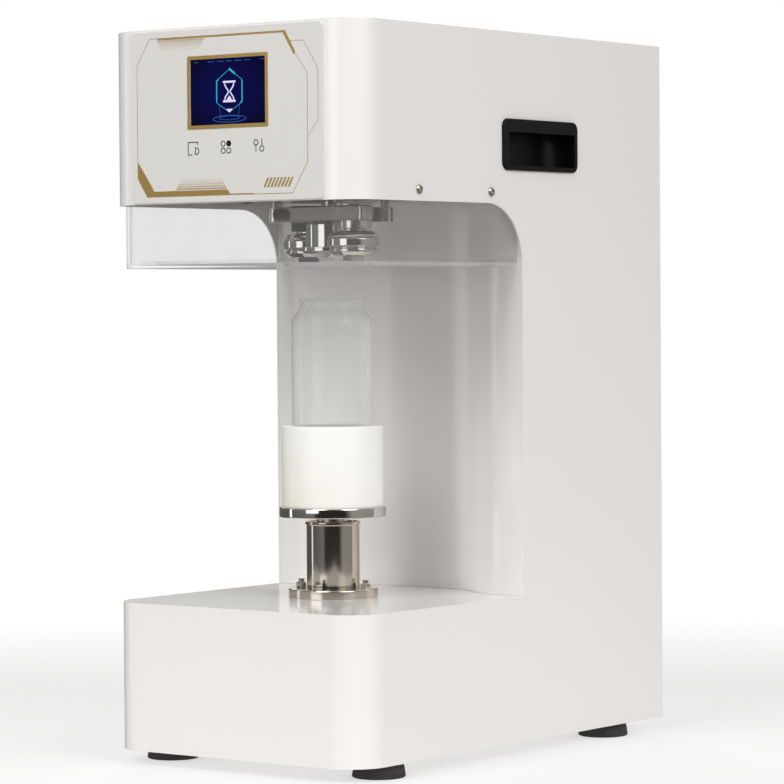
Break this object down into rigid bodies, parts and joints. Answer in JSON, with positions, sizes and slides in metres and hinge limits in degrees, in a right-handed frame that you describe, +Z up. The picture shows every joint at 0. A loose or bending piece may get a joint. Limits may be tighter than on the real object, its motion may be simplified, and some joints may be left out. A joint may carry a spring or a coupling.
{
  "type": "can seaming machine",
  "caption": "Bench-top cup and can sealing machine: C-shaped white casing, touch panel, clear guard, roller seaming head, screw-driven lift with can holder.",
  "frame": {"origin": "on the floor under the feet, in the middle of the machine's footprint", "axes": "+Z up; +Y to the rear, so the control panel faces -Y; +X to the right of someone facing the panel"},
  "size_m": [0.265, 0.441, 0.598],
  "materials": {
    "white_powder_coat": "satin gloss powder coat",
    "panel_white": "gloss film",
    "gold": "satin",
    "display_glass": "gloss",
    "circuit_board": "solder resist",
    "black_plastic": "fine grain",
    "black_rubber": "matt",
    "clear_acrylic": "polished clear plastic",
    "clear_pet": "clear bottle plastic",
    "white_plastic": "turned",
    "satin_nickel": "nickel plated",
    "polished_chrome": "polished",
    "bright_steel": "ground",
    "black_oxide": "blackened steel",
    "grey_steel": "primed",
    "cast_aluminium": "machined",
    "bronze": "turned",
    "motor_black": "satin",
    "belt_rubber": "matt"
  },
  "bodies": {
    "housing": {"left_side_panel": "white_powder_coat", "right_side_panel": "white_powder_coat", "head_front_shell": "white_powder_coat", "base_front_shell": "white_powder_coat", "top_cover": "white_powder_coat", "base_deck": "white_powder_coat", "column_front_panel": "white_powder_coat", "head_floor": "white_powder_coat", "back_cover": "white_powder_coat", "back_cover_screws": "polished_chrome", "bottom_plate": "white_powder_coat", "rubber_feet": "black_rubber", "main_frame": "grey_steel", "control_panel": "panel_white", "display_bezel": "gold", "display_screen": "display_glass", "control_board": "circuit_board", "left_handle": "black_plastic", "right_handle": "black_plastic", "guard_shell": "clear_acrylic", "guard_plate": "clear_acrylic", "guard_strips": "clear_acrylic", "guard_screws": "polished_chrome", "guide_flange": "satin_nickel", "guide_tube": "satin_nickel", "flange_bolts": "polished_chrome", "lift_motor": "motor_black", "seaming_chuck": "bright_steel", "chuck_rod": "bright_steel", "bearing_housing": "cast_aluminium", "spindle_bearings": "bright_steel", "shift_actuator": "motor_black", "seam_motor": "motor_black", "drive_belt": "belt_rubber", "power_supply": "cast_aluminium", "power_entry": "black_plastic"},
    "turret": {"spindle": "bright_steel", "turret_plate": "bright_steel", "turret_pulley": "cast_aluminium"},
    "cam": {"cam_spool": "bright_steel"},
    "fork": {"shift_fork": "bronze"},
    "first_lever": {"first_lever_arm": "satin_nickel", "first_lever_shaft": "bright_steel", "first_roller_axle": "bright_steel", "first_pinch_screw": "black_oxide"},
    "second_lever": {"second_lever_arm": "satin_nickel", "second_lever_shaft": "bright_steel", "second_roller_axle": "black_oxide", "second_pinch_screw": "black_oxide"},
    "first_roller": {"first_roller": "polished_chrome"},
    "second_roller": {"second_roller": "polished_chrome"},
    "motor_pulley": {"motor_pulley": "cast_aluminium"},
    "screw": {"lead_screw": "bright_steel", "screw_coupling": "cast_aluminium"},
    "lift": {"lift_shaft": "bright_steel", "lift_nut": "bronze", "lift_disc": "polished_chrome", "can_holder": "white_plastic", "sample_can": "clear_pet"},
    "power_switch": {"power_switch": "black_plastic"}
  },
  "joints": [
    {"name": "turret_spin", "type": "hinge", "parent": "housing", "child": "turret", "pos_m": [0, -0.084, 0.4569], "axis": [0, 0, 1], "continuous": true},
    {"name": "motor_spin", "type": "hinge", "parent": "housing", "child": "motor_pulley", "pos_m": [0, 0.1, 0.558], "axis": [0, 0, 1], "continuous": true},
    {"name": "shift_slide", "type": "slide", "parent": "housing", "child": "fork", "axis": [0, 0, 1], "range_m": [-0.006, 0.006]},
    {"name": "cam_slide", "type": "slide", "parent": "turret", "child": "cam", "axis": [0, 0, 1], "range_m": [-0.006, 0.006]},
    {"name": "first_lever_swing", "type": "hinge", "parent": "turret", "child": "first_lever", "pos_m": [-0.036, -0.112, 0.4569], "axis": [0, 0, 1], "range_deg": [-6.5, 6.5]},
    {"name": "second_lever_swing", "type": "hinge", "parent": "turret", "child": "second_lever", "pos_m": [0.036, -0.056, 0.4569], "axis": [0, 0, 1], "range_deg": [-6.5, 6.5]},
    {"name": "first_roller_spin", "type": "hinge", "parent": "first_lever", "child": "first_roller", "pos_m": [0.045, -0.112, 0.4569], "axis": [0, 0, 1], "continuous": true},
    {"name": "second_roller_spin", "type": "hinge", "parent": "second_lever", "child": "second_roller", "pos_m": [-0.045, -0.056, 0.4569], "axis": [0, 0, 1], "continuous": true},
    {"name": "screw_turn", "type": "hinge", "parent": "housing", "child": "screw", "pos_m": [0, -0.084, 0.0817], "axis": [0, 0, 1], "range_deg": [0, 1368]},
    {"name": "lift_slide", "type": "slide", "parent": "housing", "child": "lift", "axis": [0, 0, 1], "range_m": [0, 0.038]},
    {"name": "switch_press", "type": "hinge", "parent": "housing", "child": "power_switch", "pos_m": [0.03, 0.213, 0.0517], "axis": [1, 0, 0], "range_deg": [0, 16]}
  ],
  "couplings": [
    {"joint": "motor_spin", "follows": "turret_spin", "ratio": 2},
    {"joint": "cam_slide", "follows": "shift_slide", "ratio": 1},
    {"joint": "first_lever_swing", "follows": "shift_slide", "rad_per_m": 18.906},
    {"joint": "second_lever_swing", "follows": "shift_slide", "rad_per_m": -18.906},
    {"joint": "screw_turn", "follows": "lift_slide", "rad_per_m": 628.26}
  ]
}
